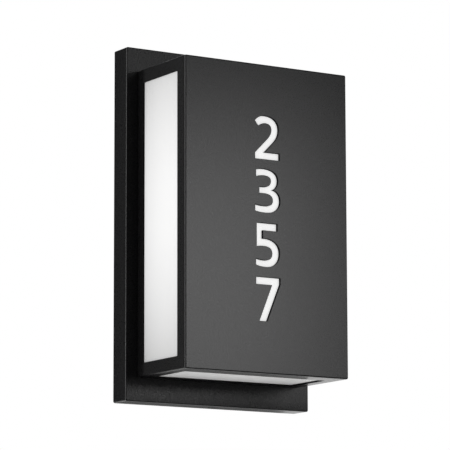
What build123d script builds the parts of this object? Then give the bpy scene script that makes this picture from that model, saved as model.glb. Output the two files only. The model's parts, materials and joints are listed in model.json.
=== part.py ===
"""An illuminated house number sign for an outside wall.

A shallow tray stands against the wall and hangs on a steel strap. The lamp's deep head is screwed to the
tray: a folded housing with lit windows in its left side, right side and underside, and a number plate in
front. Inside it, a white tray carries the LED board.

Millimetres. X points right, Y into the wall and Z up. The origin is on the wall, in the middle of the
backplate, so the lamp reaches from Y = 0 to Y = -overall_depth. Every "depth" below is a distance from the
wall, towards the viewer.
"""

import math
import os

from build123d import *

os.makedirs("parts", exist_ok=True)

# ---------------------------------------------------------------- driving sizes
# backplate: the tray against the wall
plate_width = 184.0
plate_height = 305.0
plate_depth = 21.0
plate_wall = 2.0
plate_corner = 1.6
outer_edge = 0.9

# head: the housing in front of the backplate
head_width = 162.0
head_height = 264.0
head_sheet = 1.5
head_shell_depth = 75.5
head_corner = 1.2
rear_return = 12.0
front_return = 14.0
mitre_gap = 0.4
head_gasket_thickness = 1.0
head_gasket_inset = 0.6
number_plate_thickness = 2.5

# windows in the head: what is left of the wall round them
side_window_rear_frame = 8.5
side_window_front_frame = 10.5
side_window_end_frame = 11.5
bottom_window_rear_frame = 5.0
bottom_window_front_frame = 16.5
bottom_window_side_frame = 11.0
window_corner = 0.8

# opal sheets
diffuser_thickness = 3.0
diffuser_end_gap = 0.5
side_diffuser_end_gap = 2.5
bottom_diffuser_side_gap = 1.5
number_diffuser_thickness = 2.0
number_diffuser_gap = 1.0

# spring clips that press the opal sheets against the walls
clip_sheet = 1.0
clip_bend = 0.5
clip_reach = 11.0
clip_foot = 6.0
clip_length = 14.0
side_clip_inner_row = 30.0
side_clip_screw_gap = 15.0
bottom_clip_pitch = 84.0

# screws: shank, head width and head height
head_screw_shank = 4.0
head_screw_head = 7.0
head_screw_head_height = 2.4
head_screw_pitch = 105.0
head_screw_gap = 0.5
small_screw_shank = 3.0
small_screw_head = 5.5
small_screw_head_height = 1.8
screw_play = 0.2
thread_play = 0.05

# every pan head's cross recess and rounding, as shares of the head
cross_width_share = 0.16
cross_length_share = 0.56
cross_depth_share = 0.5
head_rounding_share = 0.45

# weld studs on the number plate's back, and their nuts
stud_width = 3.0
stud_play = 0.2
stud_past_nut = 1.0
nut_across_flats = 5.5
nut_height = 2.0
stud_clip_gap = 6.0
end_stud_gap = 4.0
side_stud_gap = 5.5
diffuser_stud_side_inset = 6.0
diffuser_stud_end_inset = 9.0

# wall bracket: a folded strap with a hooked top and a foot for the set screw
strap_width = 44.0
strap_thickness = 2.0
strap_bend = 1.0
strap_foot_gap = 9.0
strap_foot_front_gap = 2.0
hook_reach = 10.5
hook_rise = 4.0
box_slot_pitch = 84.0
box_slot_width = 4.8
box_slot_length = 24.0
wire_hole = 20.0
ground_screw_inset = 41.5

# hanger inside the backplate, over the strap's hook
hanger_sheet = 1.5
hanger_bend = 0.5
hanger_width = 60.0
hanger_drop = 36.5
hanger_top_gap = 2.0
hanger_screw_edge = 8.0
hanger_screw_pitch = 40.0
hook_play = 1.5
hook_gap = 0.8

# set screw in the backplate's underside, up into the strap's foot
set_screw_shank = 4.0
set_screw_head = 8.0
set_screw_head_height = 2.4
set_screw_socket = 2.5
set_screw_socket_depth = 1.5
set_screw_head_chamfer = 0.4
set_screw_point_chamfer = 0.5
set_screw_depth = 11.0
set_screw_counterbore = 9.0
set_screw_past_foot = 2.0
set_screw_boss = 13.0
set_screw_boss_height = 3.0

# wall gasket inside the backplate's rim
wall_gasket_width = 4.0
wall_gasket_thickness = 3.0

# LED tray, board and LEDs
tray_side_gap = 6.0
tray_end_gap = 12.0
tray_rise = 17.0
tray_sheet = 1.2
tray_bend = 0.8
tray_foot = 11.0
tray_screw_inset = 28.0
board_width = 60.0
board_end_gap = 8.0
board_corner = 2.5
board_thickness = 1.6
board_screw_inset = 5.0
led_size = 3.5
led_height = 0.7
led_lens = 2.6
led_lens_height = 0.35
led_lens_taper = 25.0
led_rows = 10
led_end_margin = 14.5
led_column_pitch = 28.0

# driver
driver_width = 34.0
driver_length = 84.0
driver_thickness = 14.0
driver_corner = 3.2
driver_edge = 0.8
driver_ear = 8.0
driver_ear_width = 12.8
driver_ear_thickness = 1.6
driver_bottom = 24.0

# terminal block
terminal_poles = 3
terminal_pitch = 9.0
terminal_length = 19.0
terminal_thickness = 13.0
terminal_edge = 0.5
terminal_drop = 72.0
terminal_wire_hole = 3.4
terminal_wire_inset = 4.4
terminal_well_depth = 4.4
terminal_screw = 3.6
terminal_screw_length = 3.2
terminal_screw_row = 4.75
terminal_screw_slot = 0.7
terminal_groove_width = 1.0
terminal_groove_depth = 3.2

# ground stud on the backplate, with the ring of the ground lead under its nut
ground_stud_width = 4.0
ground_stud_length = 11.0
ground_stud_chamfer = 0.5
ground_stud_drop = 40.0
ground_nut_across_flats = 7.0
ground_nut_height = 3.2
ground_ring_width = 8.0
ground_ring_thickness = 0.8
ground_barrel_width = 3.4
ground_barrel_length = 5.0

# leads, their grommet and the board's connector
grommet_hole = 10.0
grommet_lip = 1.6
grommet_board_gap = 2.0
grommet_z = -4.0
lead_width = 3.4
lead_clearance = 0.3
lead_exit_offset = 9.0
lead_exit_inset = 3.5
wire_width = 2.2
wire_into_terminal = 4.0
driver_wire_pitch = 7.0
driver_wire_drop = 12.0
ground_loop_rise = 9.5
ground_loop_reach = 9.75
turn_share = 0.45
connector_width = 7.0
connector_length = 9.0
connector_height = 5.0
connector_edge = 0.4
connector_board_gap = 3.5

# ---------------------------------------------------------------- sizes that follow
plate_front_inside = plate_depth - plate_wall
plate_inner_width = plate_width - 2 * plate_wall
plate_inner_height = plate_height - 2 * plate_wall
head_rear = plate_depth + head_gasket_thickness
shell_front = head_rear + head_shell_depth
overall_depth = shell_front + number_plate_thickness
head_inner_width = head_width - 2 * head_sheet
head_inner_height = head_height - 2 * head_sheet
rear_opening_width = head_width - 2 * rear_return
rear_opening_height = head_height - 2 * rear_return
front_opening_width = head_width - 2 * front_return
front_opening_height = head_height - 2 * front_return
rear_return_front = head_rear + head_sheet
front_return_rear = shell_front - head_sheet

side_window_low = head_rear + side_window_rear_frame
side_window_high = shell_front - side_window_front_frame
side_window_height = head_height - 2 * side_window_end_frame
bottom_window_low = head_rear + bottom_window_rear_frame
bottom_window_high = shell_front - bottom_window_front_frame
bottom_window_width = head_width - 2 * bottom_window_side_frame

diffuser_low = rear_return_front + diffuser_end_gap
diffuser_high = front_return_rear - diffuser_end_gap
diffuser_depth = diffuser_high - diffuser_low
diffuser_mid = (diffuser_high + diffuser_low) / 2
side_diffuser_inside = head_inner_width / 2 - diffuser_thickness
bottom_diffuser_inside = head_inner_height / 2 - diffuser_thickness
side_diffuser_height = 2 * (bottom_diffuser_inside - side_diffuser_end_gap)
bottom_diffuser_width = 2 * (side_diffuser_inside - bottom_diffuser_side_gap)
number_diffuser_width = front_opening_width - 2 * number_diffuser_gap
number_diffuser_height = front_opening_height - 2 * number_diffuser_gap

# strap and hanger, down from the backplate's top wall and up from its bottom wall
hanger_shelf_height = plate_inner_height / 2 - hanger_top_gap
hanger_foot_height = hanger_shelf_height - hanger_drop
hanger_screw_height = hanger_foot_height + hanger_screw_edge
hanger_lip_depth = hook_reach - strap_thickness - hook_gap
strap_top = hanger_shelf_height - hanger_sheet - hook_play - hook_rise
foot_low = -plate_inner_height / 2 + strap_foot_gap
foot_top = foot_low + strap_thickness
foot_reach = plate_front_inside - strap_foot_front_gap
ground_screw_height = strap_top - ground_screw_inset
plate_underside = -plate_height / 2
counterbore_depth = set_screw_head_height + screw_play

# rows and columns of screws, studs and clips
head_screw_column = side_diffuser_inside - head_screw_gap - head_screw_shank / 2
side_clip_outer_row = head_screw_pitch - side_clip_screw_gap
plate_stud_column = bottom_clip_pitch / 2 + clip_length / 2 + stud_clip_gap
plate_stud_row = bottom_diffuser_inside - end_stud_gap
side_stud_column = side_diffuser_inside - side_stud_gap
diffuser_stud_column = number_diffuser_width / 2 - diffuser_stud_side_inset
diffuser_stud_row = number_diffuser_height / 2 - diffuser_stud_end_inset

# LED tray and board, inside the head's rear opening
tray_width = rear_opening_width - 2 * (tray_foot + tray_side_gap)
tray_height = rear_opening_height - 2 * tray_end_gap
tray_top = plate_depth + tray_rise
tray_foot_column = tray_width / 2 + tray_foot / 2
tray_screw_row = tray_height / 2 - tray_screw_inset
board_height = tray_height - 2 * board_end_gap
board_top = tray_top + board_thickness
board_screw_column = board_width / 2 - board_screw_inset
board_screw_row = board_height / 2 - board_screw_inset
led_row_pitch = (board_height - 2 * led_end_margin) / (led_rows - 1)

# driver and terminals, midway between the strap and the column of head screws
driver_centre_x = -(strap_width / 2 + head_screw_column - head_screw_head / 2) / 2
driver_mid_z = driver_bottom + driver_length / 2
driver_rear = plate_front_inside - driver_thickness
terminal_centre_z = driver_bottom - terminal_drop
terminal_rear = plate_front_inside - terminal_thickness
terminal_top = terminal_centre_z + terminal_length / 2
wire_depth = plate_front_inside - terminal_wire_inset
ground_stud_z = terminal_centre_z - ground_stud_drop
grommet_x = -(board_width / 2 + grommet_board_gap + grommet_hole / 2)
connector_centre_x = -(board_width / 2 - connector_board_gap - connector_length / 2)


# ---------------------------------------------------------------- shapes used more than once
def facing_wall(x, depth, z):
    """A place whose +Z points into the wall: a screw there is driven towards the viewer."""
    return Plane(origin=(x, -depth, z), x_dir=(1, 0, 0), z_dir=(0, 1, 0)).location


def facing_out(x, depth, z):
    """A place whose +Z points away from the wall: a screw there is driven towards the wall."""
    return Plane(origin=(x, -depth, z), x_dir=(1, 0, 0), z_dir=(0, -1, 0)).location


def cross_screw(shank, length, head, head_height):
    """A pan-head screw: its head stands on Z = 0, its shank hangs below."""
    slot_width = cross_width_share * head
    slot_length = cross_length_share * head
    with BuildPart() as screw:
        Cylinder(head / 2, head_height, align=(Align.CENTER, Align.CENTER, Align.MIN))
        fillet(screw.edges().group_by(Axis.Z)[-1], head_rounding_share * head_height)
        with BuildSketch(Plane.XY.offset(head_height)):
            Rectangle(slot_length, slot_width)
            Rectangle(slot_width, slot_length)
        extrude(amount=-cross_depth_share * head_height, mode=Mode.SUBTRACT)
        Cylinder(shank / 2, length, align=(Align.CENTER, Align.CENTER, Align.MAX))
    return screw.part


def hex_nut(across_flats, height, bore):
    """A hexagon nut that sits on Z = 0."""
    with BuildPart() as nut:
        with BuildSketch():
            RegularPolygon(across_flats / 2, 6, major_radius=False)
            Circle(bore / 2, mode=Mode.SUBTRACT)
        extrude(amount=height)
    return nut.part


# ---------------------------------------------------------------- backplate
head_screw_places = [
    (side * head_screw_column, row * head_screw_pitch) for side in (-1, 1) for row in (-1, 0, 1)
]
hanger_screw_places = [(side * hanger_screw_pitch / 2, hanger_screw_height) for side in (-1, 1)]
tray_screw_places = [(side * tray_foot_column, end * tray_screw_row) for side in (-1, 1) for end in (-1, 1)]
driver_screw_places = [
    (driver_centre_x, driver_mid_z + end * (driver_length / 2 + driver_ear / 2)) for end in (-1, 1)
]

with BuildPart() as backplate:
    with BuildSketch(Plane.XZ):
        RectangleRounded(plate_width, plate_height, plate_corner)
    extrude(amount=plate_depth)
    fillet(backplate.faces().sort_by(Axis.Y)[0].edges(), outer_edge)
    with BuildSketch(Plane.XZ):
        Rectangle(plate_inner_width, plate_inner_height)
    extrude(amount=plate_front_inside, mode=Mode.SUBTRACT)
    # boss over the set screw, on the inside of the bottom wall
    with BuildSketch(Plane((0, -set_screw_depth, plate_underside))):
        Circle(set_screw_boss / 2)
    extrude(amount=plate_wall + set_screw_boss_height)
    with Locations(Plane((0, -set_screw_depth, plate_underside), z_dir=(0, 0, -1))):
        CounterBoreHole(
            set_screw_shank / 2 + screw_play,
            set_screw_counterbore / 2,
            counterbore_depth,
            plate_wall + set_screw_boss_height,
        )
    # holes through the front wall, all hidden behind the head
    with BuildSketch(Plane.XZ.offset(plate_front_inside)):
        with Locations(*head_screw_places):
            Circle(head_screw_shank / 2 + screw_play)
        with Locations(*hanger_screw_places, *tray_screw_places, *driver_screw_places):
            Circle(small_screw_shank / 2 + thread_play)
        with Locations((grommet_x, grommet_z)):
            Circle(grommet_hole / 2)
    extrude(amount=plate_wall, mode=Mode.SUBTRACT)
backplate.part.label = "backplate"
export_step(backplate.part, "parts/backplate.step")

# ---------------------------------------------------------------- wall gasket
with BuildPart() as wall_gasket:
    with BuildSketch(Plane.XZ):
        Rectangle(plate_inner_width, plate_inner_height)
        Rectangle(
            plate_inner_width - 2 * wall_gasket_width,
            plate_inner_height - 2 * wall_gasket_width,
            mode=Mode.SUBTRACT,
        )
    extrude(amount=wall_gasket_thickness)
wall_gasket.part.label = "wall_gasket"
export_step(wall_gasket.part, "parts/wall_gasket.step")

# ---------------------------------------------------------------- mounting bracket
# One strip of steel. Seen from the side it runs from the foot's front edge to the wall, up the wall, forward
# over the top and up again into the hook.
strap_outer_bend = strap_bend + strap_thickness

with BuildPart() as mounting_bracket:
    with BuildSketch(Plane.YZ):
        with BuildLine():
            FilletPolyline(
                (-foot_reach, foot_low),
                (0, foot_low),
                (0, strap_top),
                (-hook_reach, strap_top),
                (-hook_reach, strap_top + hook_rise),
                radius=(strap_outer_bend, strap_outer_bend, strap_bend),
            )
            offset(amount=strap_thickness, side=Side.LEFT)
        make_face()
    extrude(amount=strap_width / 2, both=True)
    with BuildSketch(Plane.XZ):
        with Locations((0, -box_slot_pitch / 2), (0, box_slot_pitch / 2)):
            SlotOverall(box_slot_length, box_slot_width, rotation=90)
        Circle(wire_hole / 2)
        with Locations((0, ground_screw_height)):
            Circle(head_screw_shank / 2 + thread_play)
    extrude(amount=strap_thickness, mode=Mode.SUBTRACT)
    with BuildSketch(Plane.XY.offset(foot_low)):
        with Locations((0, -set_screw_depth)):
            Circle(set_screw_shank / 2 + thread_play)
    extrude(amount=strap_thickness, mode=Mode.SUBTRACT)
mounting_bracket.part.label = "mounting_bracket"
export_step(mounting_bracket.part, "parts/mounting_bracket.step")

# green ground screw, driven towards the wall into the strap
with BuildPart() as ground_screw:
    with Locations(facing_out(0, strap_thickness, ground_screw_height)):
        add(
            cross_screw(
                head_screw_shank,
                strap_thickness,
                head_screw_head,
                head_screw_head_height,
            )
        )
ground_screw.part.label = "ground_screw"
export_step(ground_screw.part, "parts/ground_screw.step")

# ---------------------------------------------------------------- hanger
# Its lip hooks down behind the strap's upturned edge and rests on the strap.
with BuildPart() as hanger:
    with BuildSketch(Plane.YZ):
        with BuildLine():
            FilletPolyline(
                (-plate_front_inside, hanger_foot_height),
                (-plate_front_inside, hanger_shelf_height),
                (-hanger_lip_depth, hanger_shelf_height),
                (-hanger_lip_depth, strap_top),
                radius=hanger_bend + hanger_sheet,
            )
            offset(amount=hanger_sheet, side=Side.RIGHT)
        make_face()
    extrude(amount=hanger_width / 2, both=True)
    with BuildSketch(Plane.XZ.offset(plate_front_inside - hanger_sheet)):
        with Locations(*hanger_screw_places):
            Circle(small_screw_shank / 2 + screw_play)
    extrude(amount=hanger_sheet, mode=Mode.SUBTRACT)
hanger.part.label = "hanger"
export_step(hanger.part, "parts/hanger.step")

with BuildPart() as hanger_screws:
    hanger_screw = cross_screw(
        small_screw_shank,
        hanger_sheet + plate_wall,
        small_screw_head,
        small_screw_head_height,
    )
    with Locations(*[facing_wall(x, plate_front_inside - hanger_sheet, z) for x, z in hanger_screw_places]):
        add(hanger_screw)
hanger_screws.part.label = "hanger_screws"
export_step(hanger_screws.part, "parts/hanger_screws.step")

# ---------------------------------------------------------------- set screw
with BuildPart() as set_screw:
    set_screw_seat = plate_underside + counterbore_depth
    set_screw_length = foot_top + set_screw_past_foot - set_screw_seat
    with BuildSketch(Plane((0, -set_screw_depth, set_screw_seat))):
        Circle(set_screw_shank / 2)
    extrude(amount=set_screw_length)
    chamfer(set_screw.edges().group_by(Axis.Z)[-1], set_screw_point_chamfer)
    with BuildSketch(Plane((0, -set_screw_depth, set_screw_seat))):
        Circle(set_screw_head / 2)
    extrude(amount=-set_screw_head_height)
    chamfer(set_screw.edges().group_by(Axis.Z)[0], set_screw_head_chamfer)
    with BuildSketch(Plane((0, -set_screw_depth, set_screw_seat - set_screw_head_height))):
        RegularPolygon(set_screw_socket / 2, 6, major_radius=False)
    extrude(amount=set_screw_socket_depth, mode=Mode.SUBTRACT)
set_screw.part.label = "set_screw"
export_step(set_screw.part, "parts/set_screw.step")

# ---------------------------------------------------------------- head shell
plate_stud_places = [(side * plate_stud_column, end * plate_stud_row) for side in (-1, 1) for end in (-1, 1)]
plate_stud_places += [(side * side_stud_column, 0) for side in (-1, 1)]


def mitre_slits(return_width):
    """The slits of a sketch where folded returns of this width meet, one in each corner of the head."""
    slit_length = (return_width - head_sheet) * math.sqrt(2)
    slit_inset = (return_width + head_sheet) / 2 + mitre_gap
    for side in (-1, 1):
        for end in (-1, 1):
            with Locations((side * (head_width / 2 - slit_inset), end * (head_height / 2 - slit_inset))):
                Rectangle(slit_length, mitre_gap, rotation=45 * side * end)


with BuildPart() as head_shell:
    with BuildSketch(Plane.XZ.offset(head_rear)):
        RectangleRounded(head_width, head_height, head_corner)
    extrude(amount=head_shell_depth)
    with BuildSketch(Plane.XZ.offset(rear_return_front)):
        Rectangle(head_inner_width, head_inner_height)
    extrude(amount=front_return_rear - rear_return_front, mode=Mode.SUBTRACT)
    with BuildSketch(Plane.XZ.offset(head_rear)):
        Rectangle(rear_opening_width, rear_opening_height)
    extrude(amount=head_sheet, mode=Mode.SUBTRACT)
    with BuildSketch(Plane.XZ.offset(front_return_rear)):
        Rectangle(front_opening_width, front_opening_height)
    extrude(amount=head_sheet, mode=Mode.SUBTRACT)
    # windows in both sides, and in the underside
    with BuildSketch(Plane.YZ):
        with Locations((-(side_window_low + side_window_high) / 2, 0)):
            RectangleRounded(side_window_high - side_window_low, side_window_height, window_corner)
    extrude(amount=head_width / 2, both=True, mode=Mode.SUBTRACT)
    with BuildSketch(Plane.XY.offset(-head_height / 2)):
        with Locations((0, -(bottom_window_low + bottom_window_high) / 2)):
            RectangleRounded(bottom_window_width, bottom_window_high - bottom_window_low, window_corner)
    extrude(amount=head_sheet, mode=Mode.SUBTRACT)
    # mitres at the corners of both returns
    with BuildSketch(Plane.XZ.offset(head_rear)):
        mitre_slits(rear_return)
    extrude(amount=head_sheet, mode=Mode.SUBTRACT)
    with BuildSketch(Plane.XZ.offset(front_return_rear)):
        mitre_slits(front_return)
    extrude(amount=head_sheet, mode=Mode.SUBTRACT)
    # screw holes in the rear return, stud holes in the front return
    with BuildSketch(Plane.XZ.offset(head_rear)):
        with Locations(*head_screw_places):
            Circle(head_screw_shank / 2 + thread_play)
    extrude(amount=head_sheet, mode=Mode.SUBTRACT)
    with BuildSketch(Plane.XZ.offset(front_return_rear)):
        with Locations(*plate_stud_places):
            Circle(stud_width / 2 + stud_play)
    extrude(amount=head_sheet, mode=Mode.SUBTRACT)
head_shell.part.label = "head_shell"
export_step(head_shell.part, "parts/head_shell.step")

with BuildPart() as head_gasket:
    with BuildSketch(Plane.XZ.offset(plate_depth)):
        Rectangle(head_width - 2 * head_gasket_inset, head_height - 2 * head_gasket_inset)
        Rectangle(rear_opening_width, rear_opening_height, mode=Mode.SUBTRACT)
        with Locations(*head_screw_places):
            Circle(head_screw_shank / 2 + screw_play, mode=Mode.SUBTRACT)
    extrude(amount=head_gasket_thickness)
head_gasket.part.label = "head_gasket"
export_step(head_gasket.part, "parts/head_gasket.step")

# screws from inside the backplate, through the gasket and into the head's rear return
with BuildPart() as head_screws:
    head_screw = cross_screw(
        head_screw_shank,
        rear_return_front + head_sheet - plate_front_inside,
        head_screw_head,
        head_screw_head_height,
    )
    with Locations(*[facing_wall(x, plate_front_inside, z) for x, z in head_screw_places]):
        add(head_screw)
head_screws.part.label = "head_screws"
export_step(head_screws.part, "parts/head_screws.step")

# ---------------------------------------------------------------- number plate
with BuildPart() as number_plate:
    with BuildSketch(Plane.XZ.offset(shell_front)):
        RectangleRounded(head_width, head_height, head_corner)
    extrude(amount=number_plate_thickness)
    fillet(number_plate.faces().sort_by(Axis.Y)[0].edges(), outer_edge)
number_plate.part.label = "number_plate"
export_step(number_plate.part, "parts/number_plate.step")

# Studs welded to the plate's back: the first set goes through the head's front return, the second through
# the opal sheet.
diffuser_stud_places = [
    (side * diffuser_stud_column, end * diffuser_stud_row) for side in (-1, 1) for end in (-1, 1)
]

with BuildPart() as plate_studs:
    with BuildSketch(Plane.XZ.offset(shell_front)):
        with Locations(*plate_stud_places):
            Circle(stud_width / 2)
    extrude(amount=-(head_sheet + nut_height + stud_past_nut))
    with BuildSketch(Plane.XZ.offset(shell_front)):
        with Locations(*diffuser_stud_places):
            Circle(stud_width / 2)
    extrude(amount=-(number_diffuser_thickness + nut_height + stud_past_nut))
plate_studs.part.label = "plate_studs"
export_step(plate_studs.part, "parts/plate_studs.step")

with BuildPart() as number_diffuser:
    with BuildSketch(Plane.XZ.offset(shell_front - number_diffuser_thickness)):
        Rectangle(number_diffuser_width, number_diffuser_height)
        with Locations(*diffuser_stud_places):
            Circle(stud_width / 2 + stud_play, mode=Mode.SUBTRACT)
    extrude(amount=number_diffuser_thickness)
number_diffuser.part.label = "number_diffuser"
export_step(number_diffuser.part, "parts/number_diffuser.step")

with BuildPart() as plate_nuts:
    stud_nut = hex_nut(nut_across_flats, nut_height, stud_width + 2 * thread_play)
    with Locations(*[facing_wall(x, front_return_rear, z) for x, z in plate_stud_places]):
        add(stud_nut)
    with Locations(
        *[facing_wall(x, shell_front - number_diffuser_thickness, z) for x, z in diffuser_stud_places]
    ):
        add(stud_nut)
plate_nuts.part.label = "plate_nuts"
export_step(plate_nuts.part, "parts/plate_nuts.step")

# ---------------------------------------------------------------- opal sheets behind the windows
with BuildPart() as right_diffuser:
    with BuildSketch(Plane.YZ.offset(side_diffuser_inside)):
        with Locations((-diffuser_mid, 0)):
            Rectangle(diffuser_depth, side_diffuser_height)
    extrude(amount=diffuser_thickness)
right_diffuser.part.label = "right_diffuser"
export_step(right_diffuser.part, "parts/right_diffuser.step")

with BuildPart() as left_diffuser:
    add(mirror(right_diffuser.part, about=Plane.YZ, mode=Mode.PRIVATE))
left_diffuser.part.label = "left_diffuser"
export_step(left_diffuser.part, "parts/left_diffuser.step")

with BuildPart() as bottom_diffuser:
    with BuildSketch(Plane.XY.offset(-head_inner_height / 2)):
        with Locations((0, -diffuser_mid)):
            Rectangle(bottom_diffuser_width, diffuser_depth)
    extrude(amount=diffuser_thickness)
bottom_diffuser.part.label = "bottom_diffuser"
export_step(bottom_diffuser.part, "parts/bottom_diffuser.step")

# ---------------------------------------------------------------- spring clips
# Each is an angle: a foot on one of the head's returns and a leaf along the inner face of an opal sheet.
# This one is for the right side's rear edge. The others are turned or mirrored copies.
with BuildPart() as rear_clip:
    with BuildSketch(Plane.XY):
        with BuildLine():
            FilletPolyline(
                (-clip_foot, -rear_return_front),
                (0, -rear_return_front),
                (0, -rear_return_front - clip_reach),
                radius=clip_bend + clip_sheet,
            )
            offset(amount=clip_sheet, side=Side.RIGHT)
        make_face()
    extrude(amount=clip_length / 2, both=True)

front_clip = mirror(
    rear_clip.part,
    about=Plane.XZ.offset((rear_return_front + front_return_rear) / 2),
    mode=Mode.PRIVATE,
)
clip_rows = [-side_clip_outer_row, -side_clip_inner_row, side_clip_inner_row, side_clip_outer_row]

with BuildPart() as diffuser_clips:
    with Locations(*[(side_diffuser_inside, 0, z) for z in clip_rows]):
        add([rear_clip.part, front_clip])
    mirror(about=Plane.YZ)
    bottom_clip_places = [
        Location((side * bottom_clip_pitch / 2, 0, -bottom_diffuser_inside), (0, 90, 0)) for side in (-1, 1)
    ]
    with Locations(*bottom_clip_places):
        add([rear_clip.part, front_clip])
diffuser_clips.part.label = "diffuser_clips"
export_step(diffuser_clips.part, "parts/diffuser_clips.step")

# ---------------------------------------------------------------- LED tray, board and LEDs
# The tray's section is a hat: feet on the backplate, legs, and a flat crown for the board.
tray_outer_bend = tray_bend + tray_sheet

with BuildPart() as led_tray:
    with BuildSketch(Plane.XY.offset(-tray_height / 2)):
        with BuildLine():
            FilletPolyline(
                (-tray_width / 2 - tray_foot, -plate_depth - tray_sheet),
                (-tray_width / 2, -plate_depth - tray_sheet),
                (-tray_width / 2, -tray_top),
                (tray_width / 2, -tray_top),
                (tray_width / 2, -plate_depth - tray_sheet),
                (tray_width / 2 + tray_foot, -plate_depth - tray_sheet),
                radius=(tray_bend, tray_outer_bend, tray_outer_bend, tray_bend),
            )
            offset(amount=tray_sheet, side=Side.LEFT)
        make_face()
    extrude(amount=tray_height)
    with BuildSketch(Plane.XZ.offset(plate_depth)):
        with Locations(*tray_screw_places):
            Circle(small_screw_shank / 2 + screw_play)
    extrude(amount=tray_sheet, mode=Mode.SUBTRACT)
    board_screw_places = [
        (side * board_screw_column, end * board_screw_row) for side in (-1, 1) for end in (-1, 1)
    ]
    with BuildSketch(Plane.XZ.offset(tray_top - tray_sheet)):
        with Locations(*board_screw_places):
            Circle(small_screw_shank / 2 + thread_play)
        with Locations((grommet_x, grommet_z)):
            Circle(grommet_hole / 2)
    extrude(amount=tray_sheet, mode=Mode.SUBTRACT)
led_tray.part.label = "led_tray"
export_step(led_tray.part, "parts/led_tray.step")

with BuildPart() as tray_screws:
    tray_screw = cross_screw(
        small_screw_shank,
        tray_sheet + plate_wall,
        small_screw_head,
        small_screw_head_height,
    )
    with Locations(*[facing_out(x, plate_depth + tray_sheet, z) for x, z in tray_screw_places]):
        add(tray_screw)
tray_screws.part.label = "tray_screws"
export_step(tray_screws.part, "parts/tray_screws.step")

with BuildPart() as led_board:
    with BuildSketch(Plane.XZ.offset(tray_top)):
        RectangleRounded(board_width, board_height, board_corner)
        with Locations(*board_screw_places):
            Circle(small_screw_shank / 2 + screw_play, mode=Mode.SUBTRACT)
    extrude(amount=board_thickness)
led_board.part.label = "led_board"
export_step(led_board.part, "parts/led_board.step")

with BuildPart() as board_screws:
    board_screw = cross_screw(
        small_screw_shank,
        board_thickness + 2 * tray_sheet,
        small_screw_head,
        small_screw_head_height,
    )
    with Locations(*[facing_out(x, board_top, z) for x, z in board_screw_places]):
        add(board_screw)
board_screws.part.label = "board_screws"
export_step(board_screws.part, "parts/board_screws.step")

with BuildPart() as leds:
    with BuildSketch(Plane.XZ.offset(board_top)):
        with GridLocations(led_column_pitch, led_row_pitch, 2, led_rows):
            Rectangle(led_size, led_size)
    extrude(amount=led_height)
    with BuildSketch(Plane.XZ.offset(board_top + led_height)):
        with GridLocations(led_column_pitch, led_row_pitch, 2, led_rows):
            Circle(led_lens / 2)
    extrude(amount=led_lens_height, taper=led_lens_taper)
leds.part.label = "leds"
export_step(leds.part, "parts/leds.step")

# ---------------------------------------------------------------- driver, in the backplate's hollow
with BuildPart() as led_driver:
    with BuildSketch(Plane.XZ.offset(driver_rear)):
        with Locations((driver_centre_x, driver_mid_z)):
            RectangleRounded(driver_width, driver_length, driver_corner)
    extrude(amount=driver_thickness)
    fillet(led_driver.faces().sort_by(Axis.Y)[-1].edges(), driver_edge)
    with BuildSketch(Plane.XZ.offset(plate_front_inside - driver_ear_thickness)):
        with Locations((driver_centre_x, driver_mid_z)):
            SlotOverall(driver_length + 2 * driver_ear, driver_ear_width, rotation=90)
        with Locations(*driver_screw_places):
            Circle(small_screw_shank / 2 + screw_play, mode=Mode.SUBTRACT)
    extrude(amount=driver_ear_thickness)
led_driver.part.label = "led_driver"
export_step(led_driver.part, "parts/led_driver.step")

with BuildPart() as driver_screws:
    driver_screw = cross_screw(
        small_screw_shank,
        driver_ear_thickness + plate_wall,
        small_screw_head,
        small_screw_head_height,
    )
    with Locations(
        *[facing_wall(x, plate_front_inside - driver_ear_thickness, z) for x, z in driver_screw_places]
    ):
        add(driver_screw)
driver_screws.part.label = "driver_screws"
export_step(driver_screws.part, "parts/driver_screws.step")

# ---------------------------------------------------------------- terminals
pole_columns = [
    driver_centre_x + (pole - (terminal_poles - 1) / 2) * terminal_pitch for pole in range(terminal_poles)
]
pole_screw_places = [
    (x, terminal_centre_z + end * terminal_screw_row) for x in pole_columns for end in (-1, 1)
]

with BuildPart() as terminal_block:
    with BuildSketch(Plane.XZ.offset(terminal_rear)):
        with Locations((driver_centre_x, terminal_centre_z)):
            Rectangle(terminal_poles * terminal_pitch, terminal_length)
    extrude(amount=terminal_thickness)
    fillet(terminal_block.faces().sort_by(Axis.Y)[-1].edges(), terminal_edge)
    # a wire hole right through each pole, and a screw well over each end of it
    with BuildSketch(Plane.XY.offset(terminal_centre_z)):
        with Locations(*[(x, -wire_depth) for x in pole_columns]):
            Circle(terminal_wire_hole / 2)
    extrude(amount=terminal_length / 2, both=True, mode=Mode.SUBTRACT)
    with BuildSketch(Plane.XZ.offset(terminal_rear)):
        with Locations(*pole_screw_places):
            Circle(terminal_screw / 2 + screw_play)
    extrude(amount=terminal_well_depth, mode=Mode.SUBTRACT)
    # grooves between the poles
    with BuildSketch(Plane.XZ.offset(terminal_rear)):
        with Locations(*[(x + terminal_pitch / 2, terminal_centre_z) for x in pole_columns[:-1]]):
            Rectangle(terminal_groove_width, terminal_length)
    extrude(amount=terminal_groove_depth, mode=Mode.SUBTRACT)
terminal_block.part.label = "terminal_block"
export_step(terminal_block.part, "parts/terminal_block.step")

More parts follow.
